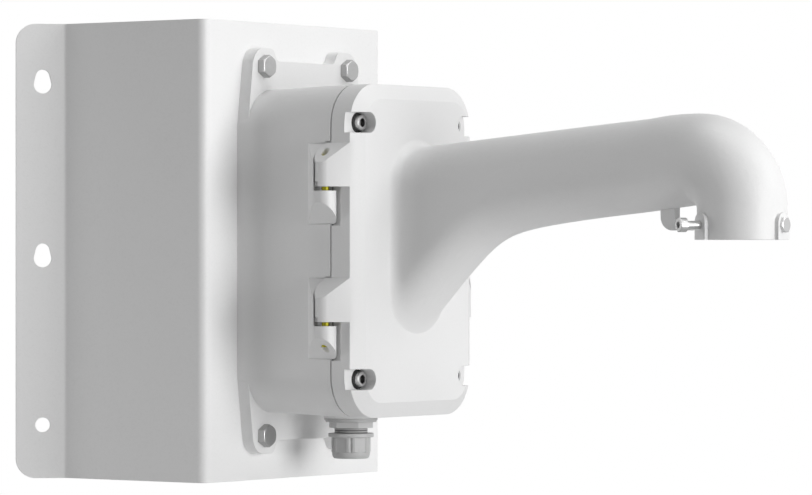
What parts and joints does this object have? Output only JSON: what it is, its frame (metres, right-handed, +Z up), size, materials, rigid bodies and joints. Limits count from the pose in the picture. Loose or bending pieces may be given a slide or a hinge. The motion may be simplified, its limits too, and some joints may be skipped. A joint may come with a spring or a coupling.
{
  "type": "camera corner mount bracket",
  "caption": "Corner wall bracket: folded plate for an outside building corner, hinged cast junction box and curved arm with a downward camera socket.",
  "frame": {"origin": "edge of the building's corner, where the planes of the two walls meet, at the bracket's mid height", "axes": "+Y into the building, -Y along the arm, +Z up, -X the side with the lid's hinges"},
  "size_m": [0.2402, 0.5202, 0.3],
  "materials": {
    "plate_paint": "fine-grained powder coat, off-white",
    "casting_paint": "cast aluminium under a satin powder coat, off-white",
    "rubber": "matte",
    "steel": "plain stainless",
    "pin_steel": "yellow passivated zinc",
    "ring_plastic": "matte",
    "gland_plastic": "matte light grey",
    "gland_rubber": "matte grey"
  },
  "bodies": {
    "base": {"corner_plate": "plate_paint", "junction_box": "casting_paint", "lid_gasket": "rubber", "rear_seal": "rubber", "box_bolts": "steel", "bolt_flat_washers": "steel", "bolt_spring_washers": "steel", "bolt_nuts": "steel", "hinge_pin_upper": "pin_steel", "hinge_pin_lower": "pin_steel", "gland_body": "gland_plastic", "gland_washer": "gland_rubber", "gland_locknut": "gland_plastic", "gland_dome_nut": "gland_plastic", "gland_seal": "gland_rubber"},
    "lid": {"arm_lid": "casting_paint", "lid_screws": "steel", "lid_screw_rings": "ring_plastic", "collar_lock_screws": "steel", "collar_hex_screw": "steel"}
  },
  "joints": [
    {"name": "lid_hinge", "type": "hinge", "parent": "base", "child": "lid", "pos_m": [-0.0728, -0.10354, 0], "axis": [0, 0, -1], "range_deg": [0, 100]}
  ]
}
